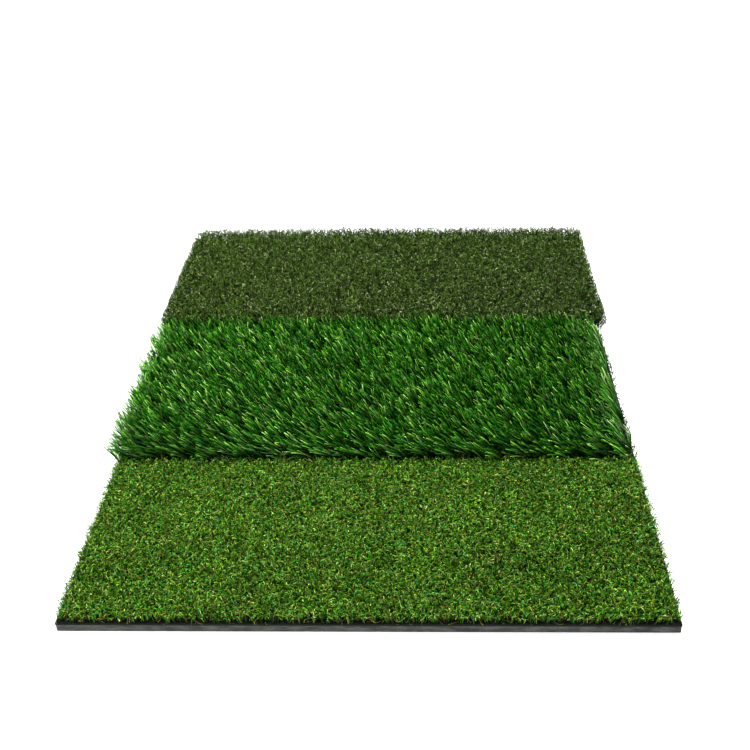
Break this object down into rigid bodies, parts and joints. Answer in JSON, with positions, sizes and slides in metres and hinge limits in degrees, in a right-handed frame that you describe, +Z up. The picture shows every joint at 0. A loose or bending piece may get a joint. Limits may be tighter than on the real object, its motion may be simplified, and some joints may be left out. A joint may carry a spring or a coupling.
{
  "type": "golf hitting mat",
  "caption": "Rectangular golf practice mat with fairway, rough and tee turf strips side by side on a thin foam rubber base that folds at its two seams.",
  "frame": {"origin": "centre of the mat's underside, on the ground", "axes": "+X across the mat's width to the right as seen from the fairway edge, +Y along its length from the fairway strip to the tee strip, +Z up out of the turf"},
  "size_m": [0.4209, 0.638, 0.0288],
  "materials": {
    "foam_rubber": "closed-cell foam rubber, matt, cut edges",
    "adhesive": "thin dried contact adhesive",
    "latex": "black latex coat",
    "woven_backing": "black woven slit-tape backing",
    "hinge_tape": "black woven stretch tape",
    "fairway_yarn": "short curled blades, mid green with emerald and olive",
    "fairway_thatch_yarn": "curled thatch, olive and tan",
    "rough_yarn": "long glossy blades, deep and bright green",
    "rough_thatch_yarn": "curled thatch, dark green",
    "tee_yarn": "dense stiff curled yarn, dark olive green"
  },
  "bodies": {
    "front_panel": {"front_base_pad": "foam_rubber", "front_adhesive_film": "adhesive", "fairway_latex_coat": "latex", "fairway_tuft_rows": "fairway_yarn", "fairway_primary_backing": "woven_backing", "fairway_thatch": "fairway_thatch_yarn", "fairway_blades": "fairway_yarn", "front_hinge_tape": "hinge_tape"},
    "middle_panel": {"middle_base_pad": "foam_rubber", "middle_adhesive_film": "adhesive", "rough_latex_coat": "latex", "rough_tuft_rows": "rough_yarn", "rough_primary_backing": "woven_backing", "rough_thatch": "rough_thatch_yarn", "rough_blades": "rough_yarn", "rear_hinge_tape": "hinge_tape"},
    "rear_panel": {"rear_base_pad": "foam_rubber", "rear_adhesive_film": "adhesive", "tee_latex_coat": "latex", "tee_tuft_rows": "tee_yarn", "tee_primary_backing": "woven_backing", "tee_pile": "tee_yarn"}
  },
  "joints": [
    {"name": "front_seam_fold", "type": "hinge", "parent": "front_panel", "child": "middle_panel", "pos_m": [0, -0.127, 0.014], "axis": [1, 0, 0], "range_deg": [0, 180], "deforming": ["fairway_blades", "rough_blades", "front_hinge_tape"]},
    {"name": "rear_seam_fold", "type": "hinge", "parent": "middle_panel", "child": "rear_panel", "pos_m": [0, 0.1016, -0.0002], "axis": [-1, 0, 0], "range_deg": [0, 180], "deforming": ["rear_hinge_tape"]}
  ],
  "couplings": [
    {"joint": "rear_seam_fold", "follows": "front_seam_fold", "ratio": 1}
  ]
}
